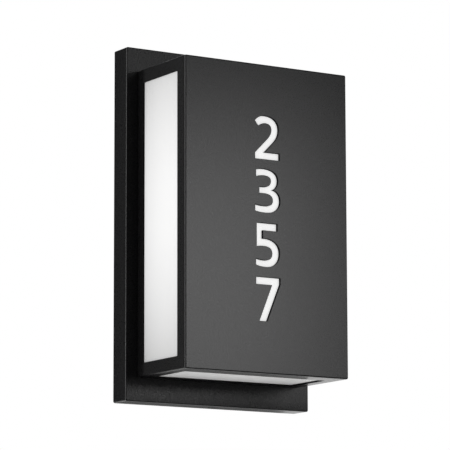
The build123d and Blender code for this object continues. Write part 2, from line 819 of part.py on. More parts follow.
with BuildPart() as terminal_screws:
    terminal_screw_top = terminal_rear + terminal_well_depth - terminal_screw_length
    with BuildSketch(Plane.XZ.offset(terminal_screw_top)):
        with Locations(*pole_screw_places):
            Circle(terminal_screw / 2)
    extrude(amount=terminal_screw_length)
    with BuildSketch(Plane.XZ.offset(terminal_screw_top)):
        with Locations(*pole_screw_places):
            Rectangle(terminal_screw, terminal_screw_slot)
    extrude(amount=terminal_screw_slot, mode=Mode.SUBTRACT)
terminal_screws.part.label = "terminal_screws"
export_step(terminal_screws.part, "parts/terminal_screws.step")

# ---------------------------------------------------------------- ground stud and its ring
ring_rear = plate_front_inside - ground_ring_thickness

with BuildPart() as ground_stud:
    with BuildSketch(Plane.XZ.offset(plate_front_inside)):
        with Locations((driver_centre_x, ground_stud_z)):
            Circle(ground_stud_width / 2)
    extrude(amount=-ground_stud_length)
    chamfer(ground_stud.edges().group_by(Axis.Y)[-1], ground_stud_chamfer)
    with Locations(facing_wall(driver_centre_x, ring_rear, ground_stud_z)):
        add(hex_nut(ground_nut_across_flats, ground_nut_height, ground_stud_width))
ground_stud.part.label = "ground_stud"
export_step(ground_stud.part, "parts/ground_stud.step")

# The ring lies under the nut. Its barrel, to the right, is crimped on the ground lead.
barrel_depth = plate_front_inside - ground_barrel_width / 2
barrel_start_x = driver_centre_x + ground_ring_width / 2
barrel_end_x = barrel_start_x + ground_barrel_length

with BuildPart() as ground_ring:
    with BuildSketch(Plane.YZ.offset(barrel_start_x)):
        with Locations((-barrel_depth, ground_stud_z)):
            Circle(ground_barrel_width / 2)
    extrude(amount=ground_barrel_length)
    with BuildSketch(Plane.XZ.offset(ring_rear)):
        with Locations((driver_centre_x, ground_stud_z)):
            Circle(ground_ring_width / 2)
        with Locations((barrel_start_x, ground_stud_z)):
            Rectangle(ground_ring_width / 2, ground_barrel_width)
        with Locations((driver_centre_x, ground_stud_z)):
            Circle(ground_stud_width / 2 + thread_play, mode=Mode.SUBTRACT)
    extrude(amount=ground_ring_thickness)
    with BuildSketch(Plane.YZ.offset(barrel_start_x)):
        with Locations((-barrel_depth, ground_stud_z)):
            Circle(wire_width / 2)
    extrude(amount=ground_barrel_length, mode=Mode.SUBTRACT)
ground_ring.part.label = "ground_ring"
export_step(ground_ring.part, "parts/ground_ring.step")


# ---------------------------------------------------------------- leads
def lead_along(points, radii, width):
    """A round lead along straight runs joined by arcs, and the share of its true volume that it has."""
    with BuildPart() as lead:
        with BuildLine():
            line = FilletPolyline(*points, radius=radii)
        with BuildSketch(Plane(points[0], z_dir=Vector(*points[1]) - Vector(*points[0]))):
            Circle(width / 2)
        sweep()
    volume_share = lead.part.volume / (line.length * math.pi * width**2 / 4)
    print("lead width", width, "radii", [round(radius, 1) for radius in radii], "volume", round(volume_share, 4))
    return lead.part


# two wires from the driver's lower end down into the first two poles
wire_end_z = terminal_top - wire_into_terminal
driver_middle_depth = driver_rear + driver_thickness / 2

with BuildPart() as driver_wires:
    for pole in (0, 1):
        exit_x = driver_centre_x + (pole - 0.5) * driver_wire_pitch
        add(
            lead_along(
                [
                    (exit_x, -driver_middle_depth, driver_bottom),
                    (exit_x, -driver_middle_depth, driver_bottom - driver_wire_drop),
                    (pole_columns[pole], -wire_depth, terminal_top + driver_wire_drop),
                    (pole_columns[pole], -wire_depth, wire_end_z),
                ],
                [driver_wire_drop, driver_wire_drop],
                wire_width,
            )
        )
driver_wires.part.label = "driver_wires"
export_step(driver_wires.part, "parts/driver_wires.step")

# the ground lead loops from the last pole's upper end down to the ring on the stud
loop_top_z = terminal_top + ground_loop_rise
loop_x = pole_columns[-1] + ground_loop_reach
loop_turn = turn_share * ground_loop_reach

with BuildPart() as ground_lead:
    add(
        lead_along(
            [
                (pole_columns[-1], -wire_depth, wire_end_z),
                (pole_columns[-1], -wire_depth, loop_top_z),
                (loop_x, -wire_depth, loop_top_z),
                (loop_x, -barrel_depth, ground_stud_z),
                (barrel_start_x, -barrel_depth, ground_stud_z),
            ],
            [loop_turn, loop_turn, turn_share * (loop_x - barrel_end_x)],
            wire_width,
        )
    )
ground_lead.part.label = "ground_lead"
export_step(ground_lead.part, "parts/ground_lead.step")

# The LED lead runs down out of the driver, across, forward through the grommet and the tray, and across
# again into the connector on the board.
with BuildPart() as wire_grommet:
    with BuildSketch(Plane.XZ.offset(plate_front_inside - grommet_lip)):
        with Locations((grommet_x, grommet_z)):
            Circle(grommet_hole / 2 + grommet_lip)
    extrude(amount=grommet_lip)
    with BuildSketch(Plane.XZ.offset(plate_front_inside)):
        with Locations((grommet_x, grommet_z)):
            Circle(grommet_hole / 2)
    extrude(amount=plate_wall)
    with BuildSketch(Plane.XZ.offset(plate_depth)):
        with Locations((grommet_x, grommet_z)):
            Circle(grommet_hole / 2 + grommet_lip)
    extrude(amount=grommet_lip)
    with BuildSketch(Plane.XZ.offset(plate_front_inside - grommet_lip)):
        with Locations((grommet_x, grommet_z)):
            Circle(lead_width / 2 + lead_clearance)
    extrude(amount=plate_wall + 2 * grommet_lip, mode=Mode.SUBTRACT)
wire_grommet.part.label = "wire_grommet"
export_step(wire_grommet.part, "parts/wire_grommet.step")

lead_exit_x = driver_centre_x - lead_exit_offset
lead_exit_depth = driver_rear + lead_exit_inset
connector_depth = board_top + connector_height / 2
connector_side = connector_centre_x - connector_length / 2
grommet_room = plate_front_inside - grommet_lip - lead_exit_depth

with BuildPart() as led_lead:
    add(
        lead_along(
            [
                (lead_exit_x, -lead_exit_depth, driver_bottom),
                (lead_exit_x, -lead_exit_depth, grommet_z),
                (grommet_x, -lead_exit_depth, grommet_z),
                (grommet_x, -connector_depth, grommet_z),
                (connector_side, -connector_depth, grommet_z),
            ],
            [
                turn_share * (grommet_x - lead_exit_x),
                min(grommet_room, (grommet_x - lead_exit_x) / 2),
                turn_share * (connector_side - grommet_x),
            ],
            lead_width,
        )
    )
led_lead.part.label = "led_lead"
export_step(led_lead.part, "parts/led_lead.step")

with BuildPart() as board_connector:
    with BuildSketch(Plane.XZ.offset(board_top)):
        with Locations((connector_centre_x, grommet_z)):
            Rectangle(connector_length, connector_width)
    extrude(amount=connector_height)
    chamfer(board_connector.faces().sort_by(Axis.Y)[0].edges(), connector_edge)
board_connector.part.label = "board_connector"
export_step(board_connector.part, "parts/board_connector.step")
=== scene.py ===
# %% [markdown]
# # An illuminated house number sign
#
# This file dresses a finished construction model for a photograph. The model comes first: it holds every
# plate, sheet, screw and wire at its real size, and nothing here may move it. What is left to do is what
# a painter, a sign cutter and a photographer would do: give each surface its finish, cut the numerals,
# add the fine parts that are too small for a drawing, and set up a small studio.
#
# The sign is a black box, the head, on a flat black tray against the wall. Its left and right sides and
# its underside have windows of opal acrylic, lit from inside by LEDs, and the numerals in its front plate
# are cut right through to another opal sheet.

import json
from math import cos, pi, radians, sin

import bmesh
import bpy
from mathutils import Matrix, Quaternion, Vector


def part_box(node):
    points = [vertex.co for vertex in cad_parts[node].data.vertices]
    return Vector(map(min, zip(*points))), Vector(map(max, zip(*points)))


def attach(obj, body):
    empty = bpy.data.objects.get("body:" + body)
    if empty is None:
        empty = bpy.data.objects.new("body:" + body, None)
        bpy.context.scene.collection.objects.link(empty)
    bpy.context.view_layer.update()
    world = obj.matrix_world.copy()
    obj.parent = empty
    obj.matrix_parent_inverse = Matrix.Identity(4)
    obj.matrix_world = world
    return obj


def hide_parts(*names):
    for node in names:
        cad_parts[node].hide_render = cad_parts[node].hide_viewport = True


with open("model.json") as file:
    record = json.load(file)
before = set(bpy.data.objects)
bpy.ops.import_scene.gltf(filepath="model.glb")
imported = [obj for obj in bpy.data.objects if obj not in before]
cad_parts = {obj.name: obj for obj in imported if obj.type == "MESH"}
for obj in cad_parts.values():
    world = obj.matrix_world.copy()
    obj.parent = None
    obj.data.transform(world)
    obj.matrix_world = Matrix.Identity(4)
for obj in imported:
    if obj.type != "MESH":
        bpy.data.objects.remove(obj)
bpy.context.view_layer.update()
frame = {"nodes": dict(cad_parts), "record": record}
nodes = frame["nodes"]
MM = 0.001

# %% [markdown]
# ## Where things are
#
# A size that has to fit a piece is measured on the piece itself, so that the looks follow the model.
# X points right, Y into the wall and Z up, in metres, and the wall is at Y = 0.

# %% Measure the plate and the board
plate_low, plate_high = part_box("number_plate")
board_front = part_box("led_board")[0].y
plate_size = plate_high - plate_low
print("number plate", round(plate_size.x, 4), "wide", round(plate_size.z, 4), "high")
print("front of the LED board at", round(board_front, 4))

# %% [markdown]
# ## The camera
#
# The viewpoint was worked out from the edges in the picture: straight lines that are parallel on the real
# sign meet at vanishing points, and those give the direction and the distance. The camera stands to the
# left and a little below the sign and looks up at it, so that the left side and the underside both show.
# A long lens from 2.5 m keeps the lines nearly parallel.

# %% Place the camera
VIEW_AZIMUTH = radians(-31.848)
VIEW_ELEVATION = radians(-9.357)
VIEW_ROLL = radians(-0.131)
VIEW_DISTANCE = 2.51258
VIEW_TARGET = Vector((0.006762, -0.021, 0.005796))
LENS = 231.81
SENSOR_WIDTH = 36.0

towards_camera = Vector(
    (
        sin(VIEW_AZIMUTH) * cos(VIEW_ELEVATION),
        -cos(VIEW_AZIMUTH) * cos(VIEW_ELEVATION),
        sin(VIEW_ELEVATION),
    )
)
bpy.ops.object.select_all(action="DESELECT")
bpy.ops.object.camera_add(location=VIEW_TARGET + VIEW_DISTANCE * towards_camera)
camera = bpy.context.object
camera.rotation_mode = "QUATERNION"
camera.rotation_quaternion = towards_camera.to_track_quat("Z", "Y") @ Quaternion((0, 0, 1), VIEW_ROLL)
camera.data.lens = LENS
camera.data.sensor_width = SENSOR_WIDTH
camera.data.clip_end = 50.0
bpy.context.scene.camera = camera
bpy.context.scene.view_settings.view_transform = "Standard"
print("camera at", [round(value, 3) for value in camera.location])

# %% [markdown]
# ## The studio
#
# A black satin object is photographed by its reflections: its own colour says little, and what it mirrors
# draws it. The sign hangs in a white surround, which its grazing undersides mirror. Black cards stand
# where its faces would otherwise mirror the surround and turn grey. The world is plain white to the
# camera and to reflections, and a good deal dimmer as a lamp, so that the white ground doesn't wash out
# the shading.

# %% The white surround
def new_nodes(owner):
    """An empty node tree for a material or a world."""
    owner.use_nodes = True
    owner.node_tree.nodes.clear()
    return owner.node_tree


def seen_directly(tree):
    """A mask that is 1 on camera, reflected and refracted rays, and 0 on the rays that only carry light."""
    path = tree.nodes.new("ShaderNodeLightPath")
    first = tree.nodes.new("ShaderNodeMath")
    first.operation = "MAXIMUM"
    tree.links.new(path.outputs["Is Camera Ray"], first.inputs[0])
    tree.links.new(path.outputs["Is Glossy Ray"], first.inputs[1])
    second = tree.nodes.new("ShaderNodeMath")
    second.operation = "MAXIMUM"
    tree.links.new(first.outputs[0], second.inputs[0])
    tree.links.new(path.outputs["Is Transmission Ray"], second.inputs[1])
    return second.outputs[0]


SURROUND_WHITE = (1.0, 1.0, 1.0, 1.0)
SURROUND_LIGHT = 0.32
SURROUND_SHOWN = 1.0

world = bpy.data.worlds.new("white_surround")
bpy.context.scene.world = world
tree = new_nodes(world)
lit = tree.nodes.new("ShaderNodeBackground")
lit.inputs["Color"].default_value = SURROUND_WHITE
lit.inputs["Strength"].default_value = SURROUND_LIGHT
shown = tree.nodes.new("ShaderNodeBackground")
shown.inputs["Color"].default_value = SURROUND_WHITE
shown.inputs["Strength"].default_value = SURROUND_SHOWN
choice = tree.nodes.new("ShaderNodeMixShader")
tree.links.new(seen_directly(tree), choice.inputs[0])
tree.links.new(lit.outputs[0], choice.inputs[1])
tree.links.new(shown.outputs[0], choice.inputs[2])
world_output = tree.nodes.new("ShaderNodeOutputWorld")
tree.links.new(choice.outputs[0], world_output.inputs[0])
print("world", world.name, "gives light at", SURROUND_LIGHT)

# %% [markdown]
# The floor is a plain pale sheet well below the sign, as a floor is below a wall light, and the sign's
# shadow falls on it. The studio is lit softly, so a pale floor would look grey. To the camera and in
# reflections it therefore also glows a little, which makes it pale again and lights nothing. Towards its
# rim it fades out into the white surround, so no view shows an edge of it. Its underside is clear, so a
# camera below the floor sees the sign and not the back of a sheet.

# %% The floor
FLOOR_HEIGHT = -0.62
FLOOR_SIZE = 5.0
FLOOR_COLOUR = (0.86, 0.86, 0.855, 1.0)
FLOOR_ROUGHNESS = 0.8
FLOOR_GLOW = (0.44, 0.44, 0.44, 1.0)
NO_GLOW = (0.0, 0.0, 0.0, 1.0)
FADE_START = 1.2
FADE_END = 2.4

bpy.ops.object.select_all(action="DESELECT")
bpy.ops.mesh.primitive_plane_add(size=FLOOR_SIZE, location=(0, 0, FLOOR_HEIGHT))
floor = bpy.context.object
floor.name = "studio_floor"
paint = bpy.data.materials.new("floor_paint")
tree = new_nodes(paint)
skin = tree.nodes.new("ShaderNodeBsdfPrincipled")
skin.inputs["Base Color"].default_value = FLOOR_COLOUR
skin.inputs["Roughness"].default_value = FLOOR_ROUGHNESS
skin.inputs["Emission Strength"].default_value = 1.0
glow = tree.nodes.new("ShaderNodeMix")
glow.data_type = "RGBA"
glow.inputs["A"].default_value = NO_GLOW
glow.inputs["B"].default_value = FLOOR_GLOW
tree.links.new(seen_directly(tree), glow.inputs["Factor"])
tree.links.new(glow.outputs["Result"], skin.inputs["Emission Color"])
place = tree.nodes.new("ShaderNodeTexCoord")
distance = tree.nodes.new("ShaderNodeVectorMath")
distance.operation = "LENGTH"
tree.links.new(place.outputs["Object"], distance.inputs[0])
fade = tree.nodes.new("ShaderNodeMapRange")
fade.interpolation_type = "SMOOTHSTEP"
fade.inputs["From Min"].default_value = FADE_START
fade.inputs["From Max"].default_value = FADE_END
tree.links.new(distance.outputs["Value"], fade.inputs["Value"])
side = tree.nodes.new("ShaderNodeNewGeometry")
clearness = tree.nodes.new("ShaderNodeMath")
clearness.operation = "MAXIMUM"
tree.links.new(fade.outputs["Result"], clearness.inputs[0])
tree.links.new(side.outputs["Backfacing"], clearness.inputs[1])
clear = tree.nodes.new("ShaderNodeBsdfTransparent")
fading = tree.nodes.new("ShaderNodeMixShader")
tree.links.new(clearness.outputs[0], fading.inputs[0])
tree.links.new(skin.outputs[0], fading.inputs[1])
tree.links.new(clear.outputs[0], fading.inputs[2])
floor_output = tree.nodes.new("ShaderNodeOutputMaterial")
tree.links.new(fading.outputs[0], floor_output.inputs[0])
floor.data.materials.append(paint)
print("floor at", FLOOR_HEIGHT, "m")

# %% [markdown]
# Black cards are as useful as lamps on a shoot like this one. The camera doesn't see them and they throw
# no shadow: they only show in what mirrors them. The card behind on the left keeps the left sides dark,
# the two in front and the one above grade the front from its lit lower left to its dark upper right, and
# the small ones behind and below darken parts of the undersides. The flag is a card that does throw a
# shadow. It hangs in front of the tray's low front strip and leaves only a slit of light under the head.
# The top of the strip sees least of it and the bottom most, so the strip fades from dark at the head to
# grey at its lower edge.
#
# A lamp does two things: it lights, and it shows as a highlight. Where only one of them is wanted the
# other is switched off. The lamps above and behind only light, and the strip on the left only shows: it
# draws the fine bright line on the head's left front edge.

# %% Black cards and soft lamps
CARD_BLACK = (0.004, 0.004, 0.004, 1.0)


def face_towards(piece, point=(0, 0, 0)):
    """Turns a lamp or a card so that it faces a point, which is the sign's middle unless said."""
    piece.rotation_mode = "QUATERNION"
    piece.rotation_quaternion = (piece.location - Vector(point)).to_track_quat("Z", "Y")


black_card = bpy.data.materials.new("card_black")
tree = new_nodes(black_card)
skin = tree.nodes.new("ShaderNodeBsdfDiffuse")
skin.inputs["Color"].default_value = CARD_BLACK
card_output = tree.nodes.new("ShaderNodeOutputMaterial")
tree.links.new(skin.outputs[0], card_output.inputs[0])


def add_card(name, place, size, aim=(0, 0, 0), throws_shadow=False):
    """A black card that the camera doesn't see."""
    bpy.ops.object.select_all(action="DESELECT")
    bpy.ops.mesh.primitive_plane_add(size=1, location=place)
    card = bpy.context.object
    card.name = name
    card.scale = (size[0], size[1], 1)
    face_towards(card, aim)
    card.data.materials.append(black_card)
    card.visible_camera = False
    card.visible_diffuse = False
    card.visible_shadow = throws_shadow
    return card


def add_lamp(name, place, size, power, lights=True, shows=True):
    """A soft rectangular lamp that lights the sign, shows as a highlight in it, or both."""
    bpy.ops.object.select_all(action="DESELECT")
    bpy.ops.object.light_add(type="AREA", location=place)
    lamp = bpy.context.object
    lamp.name = name
    lamp.data.shape = "RECTANGLE"
    lamp.data.size = size[0]
    lamp.data.size_y = size[1]
    lamp.data.energy = power
    lamp.visible_camera = False
    lamp.visible_diffuse = lights
    lamp.visible_glossy = shows
    face_towards(lamp)
    return lamp


cards = [
    add_card("card_back_left", (-0.68, 1.45, 0.0), (2.6, 3.0)),
    add_card("card_front", (-0.50, -1.37, 0.0), (1.8, 3.0)),
    add_card("card_front_right_high", (1.13, -1.13, 0.75), (1.33, 1.5), (0, 0, 0.75)),
    add_card("card_above", (0.62, -0.10, 0.95), (1.7, 1.4)),
    add_card("card_below", (0.34, -0.22, -0.55), (0.7, 0.5)),
    add_card("card_behind_high", (0.75, 0.88, 0.52), (0.75, 0.5)),
    add_card("card_behind_low", (-0.01, 0.30, -0.21), (0.57, 0.10), (-0.01, 0.0, -0.21)),
    add_card(
        "flag_under_head",
        (-0.0175, -0.125, -0.287),
        (0.365, 0.30),
        (-0.0175, 0.0, -0.287),
        throws_shadow=True,
    ),
]
lamps = [
    add_lamp("lamp_front_right", (0.51, -1.05, 0.115), (0.25, 0.37), 1.30),
    add_lamp("lamp_behind_low", (0.80, 1.20, -0.24), (0.6, 0.4), 0.15),
    add_lamp("lamp_above", (0.0, -0.3, 1.3), (0.9, 0.9), 3.0, shows=False),
    add_lamp("lamp_left_edge", (-0.95, 0.80, 0.1), (0.25, 1.2), 1.1),
    add_lamp("lamp_left_strip", (-1.2, 0.15, 0.0), (0.25, 1.2), 5.0, lights=False),
    add_lamp("lamp_back", (0.2, 1.5, 0.4), (1.0, 1.0), 12.0, shows=False),
]
print(len(cards), "cards and", len(lamps), "lamps")

# %% [markdown]
# ## Finishes
#
# A finish is more than a colour. Powder coat has a fine skin like orange peel, zinc plating shows the
# rolling lines of the steel under it, foam shows its cells. What several finishes share is made once, as
# a node group with named inputs and outputs, and put in each material with its own values. All patterns
# read the Object coordinates, which are metres here because every piece sits at the origin.

# %% A helper for node groups
def new_group(name, inputs, outputs):
    """An empty node group. inputs and outputs are lists of (name, socket type, default)."""
    group = bpy.data.node_groups.new(name, "ShaderNodeTree")
    for in_out, sockets in (("INPUT", inputs), ("OUTPUT", outputs)):
        for socket_name, kind, default in sockets:
            socket = group.interface.new_socket(name=socket_name, in_out=in_out, socket_type=kind)
            if default is not None:
                socket.default_value = default
    return group, group.nodes.new("NodeGroupInput"), group.nodes.new("NodeGroupOutput")


def math_node(tree, operation, first, second=None, clamp=False):
    """A Math node whose inputs are numbers or sockets. It returns its output."""
    node = tree.nodes.new("ShaderNodeMath")
    node.operation = operation
    node.use_clamp = clamp
    for index, value in enumerate((first, second)):
        if value is None:
            continue
        if isinstance(value, bpy.types.NodeSocket):
            tree.links.new(value, node.inputs[index])
        else:
            node.inputs[index].default_value = value
    return node.outputs[0]


def object_place(tree):
    """The place on the piece, in metres."""
    return tree.nodes.new("ShaderNodeTexCoord").outputs["Object"]


FLOAT, VECTOR = "NodeSocketFloat", "NodeSocketVector"
MM_PER_M = 1000.0
print("helpers ready")

# %% [markdown]
# The first group is a skin: two sizes of soft noise added up. Its height goes to a Bump node, and its
# value varies the roughness a little, so that a highlight breaks up as it does on sprayed or moulded
# surfaces.

# %% Group: skin
FINE_PER_BROAD = 4.7

group, source, result = new_group(
    "skin",
    [("Size mm", FLOAT, 1.0), ("Fine share", FLOAT, 0.35)],
    [("Value", FLOAT, None), ("Height", FLOAT, None)],
)
scale = math_node(group, "DIVIDE", MM_PER_M, source.outputs["Size mm"])
broad = group.nodes.new("ShaderNodeTexNoise")
broad.inputs["Detail"].default_value = 2.0
group.links.new(object_place(group), broad.inputs["Vector"])
group.links.new(scale, broad.inputs["Scale"])
fine = group.nodes.new("ShaderNodeTexNoise")
fine.inputs["Detail"].default_value = 1.0
group.links.new(object_place(group), fine.inputs["Vector"])
group.links.new(math_node(group, "MULTIPLY", scale, FINE_PER_BROAD), fine.inputs["Scale"])
weighted = math_node(group, "MULTIPLY", fine.outputs["Fac"], source.outputs["Fine share"])
total = math_node(group, "ADD", broad.outputs["Fac"], weighted)
group.links.new(total, result.inputs["Height"])
group.links.new(broad.outputs["Fac"], result.inputs["Value"])
skin_group = group
print("group", skin_group.name)

# %% [markdown]
# Edges show use and thin paint first. On the black coat the lighter edge colour is also a painted highlight
# along the rounded edges. A Bevel node gives the normal as if the edges were rounded, and where that
# differs from the real normal there is an edge. Noise breaks the line up, so it isn't a drawn outline.

# %% Group: edge wear and painted edge highlight
BEVEL_RAYS = 4

group, source, result = new_group(
    "edge_wear_and_highlight",
    [("Width mm", FLOAT, 0.6), ("Strength", FLOAT, 1.0), ("Patch mm", FLOAT, 6.0)],
    [("Mask", FLOAT, None)],
)
rounded = group.nodes.new("ShaderNodeBevel")
rounded.samples = BEVEL_RAYS
group.links.new(math_node(group, "MULTIPLY", source.outputs["Width mm"], MM), rounded.inputs["Radius"])
real = group.nodes.new("ShaderNodeNewGeometry")
agreement = group.nodes.new("ShaderNodeVectorMath")
agreement.operation = "DOT_PRODUCT"
group.links.new(rounded.outputs[0], agreement.inputs[0])
group.links.new(real.outputs["Normal"], agreement.inputs[1])
edge = math_node(group, "SUBTRACT", 1.0, agreement.outputs["Value"], clamp=True)
patches = group.nodes.new("ShaderNodeTexNoise")
group.links.new(object_place(group), patches.inputs["Vector"])
group.links.new(math_node(group, "DIVIDE", MM_PER_M, source.outputs["Patch mm"]), patches.inputs["Scale"])
broken = math_node(group, "MULTIPLY", edge, patches.outputs["Fac"])
strong = math_node(group, "MULTIPLY", broken, source.outputs["Strength"], clamp=True)
group.links.new(strong, result.inputs["Mask"])
edge_wear_and_highlight_group = group
print("group", edge_wear_and_highlight_group.name)

# %% [markdown]
# Dust settles on what faces up. The mask is the upward part of the normal, times a soft cloud of noise.

# %% Group: dust
UPWARD_FOCUS = 2.0

group, source, result = new_group(
    "dust", [("Amount", FLOAT, 0.1), ("Cloud mm", FLOAT, 40.0)], [("Mask", FLOAT, None)]
)
real = group.nodes.new("ShaderNodeNewGeometry")
parts = group.nodes.new("ShaderNodeSeparateXYZ")
group.links.new(real.outputs["Normal"], parts.inputs[0])
facing_up = math_node(group, "MAXIMUM", parts.outputs["Z"], 0.0)
upward = math_node(group, "POWER", facing_up, UPWARD_FOCUS)
cloud = group.nodes.new("ShaderNodeTexNoise")
cloud.inputs["Detail"].default_value = 5.0
group.links.new(object_place(group), cloud.inputs["Vector"])
group.links.new(math_node(group, "DIVIDE", MM_PER_M, source.outputs["Cloud mm"]), cloud.inputs["Scale"])
settled = math_node(group, "MULTIPLY", upward, cloud.outputs["Fac"])
amount = math_node(group, "MULTIPLY", settled, source.outputs["Amount"], clamp=True)
group.links.new(amount, result.inputs["Mask"])
dust_group = group
print("group", dust_group.name)

# %% [markdown]
# Rolled and brushed metal has long fine lines. Noise that is stretched along one axis gives them. The
# stretch is an input, because the steel strip was rolled along Z and the brass bar drawn along Y.

# %% Group: rolled lines
group, source, result = new_group(
    "rolled_lines",
    [("Line mm", FLOAT, 0.25), ("Stretch", VECTOR, (1.0, 1.0, 0.03))],
    [("Value", FLOAT, None)],
)
stretched = group.nodes.new("ShaderNodeVectorMath")
stretched.operation = "MULTIPLY"
group.links.new(object_place(group), stretched.inputs[0])
group.links.new(source.outputs["Stretch"], stretched.inputs[1])
lines = group.nodes.new("ShaderNodeTexNoise")
lines.inputs["Detail"].default_value = 3.0
group.links.new(stretched.outputs[0], lines.inputs["Vector"])
group.links.new(math_node(group, "DIVIDE", MM_PER_M, source.outputs["Line mm"]), lines.inputs["Scale"])
group.links.new(lines.outputs["Fac"], result.inputs["Value"])
lines_group = group
print("group", lines_group.name)

# %% [markdown]
# Light behind an opal sheet is strongest in the middle and falls off where the LEDs end and towards the
# box's walls. This group works that out from the place on the sheet: the distance from a centre, as a
# share of a half size, on each axis, squared so that the fall comes late, and weighed by how fast it
# falls there.

# %% Group: lit sheet
group, source, result = new_group(
    "lit_sheet",
    [("Centre", VECTOR, (0, 0, 0)), ("Reach", VECTOR, (1, 1, 1)), ("Fall", VECTOR, (0, 0, 0.4))],
    [("Glow", FLOAT, None)],
)
offset = group.nodes.new("ShaderNodeVectorMath")
offset.operation = "SUBTRACT"
group.links.new(object_place(group), offset.inputs[0])
group.links.new(source.outputs["Centre"], offset.inputs[1])
share = group.nodes.new("ShaderNodeVectorMath")
share.operation = "DIVIDE"
group.links.new(offset.outputs[0], share.inputs[0])
group.links.new(source.outputs["Reach"], share.inputs[1])
squared = group.nodes.new("ShaderNodeVectorMath")
squared.operation = "MULTIPLY"
group.links.new(share.outputs[0], squared.inputs[0])
group.links.new(share.outputs[0], squared.inputs[1])
dimming = group.nodes.new("ShaderNodeVectorMath")
dimming.operation = "DOT_PRODUCT"
group.links.new(squared.outputs[0], dimming.inputs[0])
group.links.new(source.outputs["Fall"], dimming.inputs[1])
glow = math_node(group, "SUBTRACT", 1.0, dimming.outputs["Value"], clamp=True)
group.links.new(glow, result.inputs["Glow"])
lit_group = group
print("group", lit_group.name)

# %% [markdown]
# Each material starts the same way: one Principled shader with its plain numbers set on its own sockets.
# Small helpers then put a group in, blend its mask over the colour, or lead its height to a Bump node.

# %% Helpers for materials
NOISE_LOW = 0.3
NOISE_HIGH = 0.7


def start_finish(name, colour, roughness, metallic=0.0):
    """A new material with a Principled shader. It returns the material and the shader."""
    finish = bpy.data.materials.new(name)
    tree = new_nodes(finish)
    shader = tree.nodes.new("ShaderNodeBsdfPrincipled")
    shader.inputs["Base Color"].default_value = (*colour, 1.0)
    shader.inputs["Roughness"].default_value = roughness
    shader.inputs["Metallic"].default_value = metallic
    output = tree.nodes.new("ShaderNodeOutputMaterial")
    tree.links.new(shader.outputs[0], output.inputs[0])
    finish.diffuse_color = (*colour, 1.0)
    return finish, shader


def place_group(finish, group, **values):
    """Puts a node group in a material. Underscores in the names of the values stand for spaces."""
    node = finish.node_tree.nodes.new("ShaderNodeGroup")
    node.node_tree = group
    for name, value in values.items():
        node.inputs[name.replace("_", " ")].default_value = value
    return node


def vary_colour(finish, shader, mask, colour):
    """Blends another colour over what the shader has, by a mask."""
    tree = finish.node_tree
    mix = tree.nodes.new("ShaderNodeMix")
    mix.data_type = "RGBA"
    base = shader.inputs["Base Color"]
    if base.is_linked:
        tree.links.new(base.links[0].from_socket, mix.inputs["A"])
    else:
        mix.inputs["A"].default_value = base.default_value
    mix.inputs["B"].default_value = (*colour, 1.0)
    tree.links.new(mask, mix.inputs["Factor"])
    tree.links.new(mix.outputs["Result"], base)


def vary_roughness(finish, shader, value, low, high):
    """Makes the roughness follow a noise value, which seldom leaves 0.3 to 0.7, from low to high."""
    tree = finish.node_tree
    span = tree.nodes.new("ShaderNodeMapRange")
    span.inputs["From Min"].default_value = NOISE_LOW
    span.inputs["From Max"].default_value = NOISE_HIGH
    span.inputs["To Min"].default_value = low
    span.inputs["To Max"].default_value = high
    tree.links.new(value, span.inputs["Value"])
    tree.links.new(span.outputs[0], shader.inputs["Roughness"])


def add_bump(finish, shader, height, depth_mm):
    """Leads a height, from 0 to 1, to the shader's normal, as a relief of that depth."""
    tree = finish.node_tree
    bump = tree.nodes.new("ShaderNodeBump")
    bump.inputs["Strength"].default_value = 1.0
    bump.inputs["Distance"].default_value = depth_mm * MM
    tree.links.new(height, bump.inputs["Height"])
    tree.links.new(bump.outputs[0], shader.inputs["Normal"])


finishes = {}
print("material helpers ready")

# %% [markdown]
# ** Black powder coat.** The colour is a near black. It is a satin coat with a fine soft texture, and it
# thins a little over sharp edges, where it looks lighter. That lighter edge colour is partly thin coat and
# partly a painted highlight along the rounded edges.

# %% Finish: black powder coat
COAT_BLACK = (0.008, 0.008, 0.0085)
# the lighter edge colour: thin coat, and a painted highlight along the edges
COAT_THIN_AND_EDGE_HIGHLIGHT = (0.025, 0.025, 0.027)
DUST_GREY = (0.30, 0.29, 0.27)

coat, shader = start_finish("black_powder_coat", COAT_BLACK, roughness=0.29)
texture = place_group(coat, skin_group, Size_mm=0.9, Fine_share=0.5)
vary_roughness(coat, shader, texture.outputs["Value"], low=0.26, high=0.32)
# lighter edges: partly thin coat, partly a painted highlight along the rounded edges
edges = place_group(coat, edge_wear_and_highlight_group, Width_mm=0.5, Strength=0.7)
vary_colour(coat, shader, edges.outputs["Mask"], COAT_THIN_AND_EDGE_HIGHLIGHT)
dust = place_group(coat, dust_group, Amount=0.06)
vary_colour(coat, shader, dust.outputs["Mask"], DUST_GREY)
add_bump(coat, shader, texture.outputs["Height"], depth_mm=0.008)
finishes["black_coat"] = coat
print(coat.name)

# %% [markdown]
# **Opal acrylic.** A white sheet that scatters the LEDs' light. Real lamps behind real sheets would take
# long to render clean, so the light is given to the surface as an emission. Its colour carries the
# lit-sheet mask, and each sheet has its own centre and reach. In daylight the sheets hardly light what is
# beside them. The glow and the white are therefore for the camera only, and every other ray meets a dark
# grey sheet.

# %% Finish: opal acrylic
OPAL_WHITE = (0.88, 0.88, 0.875)
SPILL_GREY = (0.05, 0.05, 0.05)


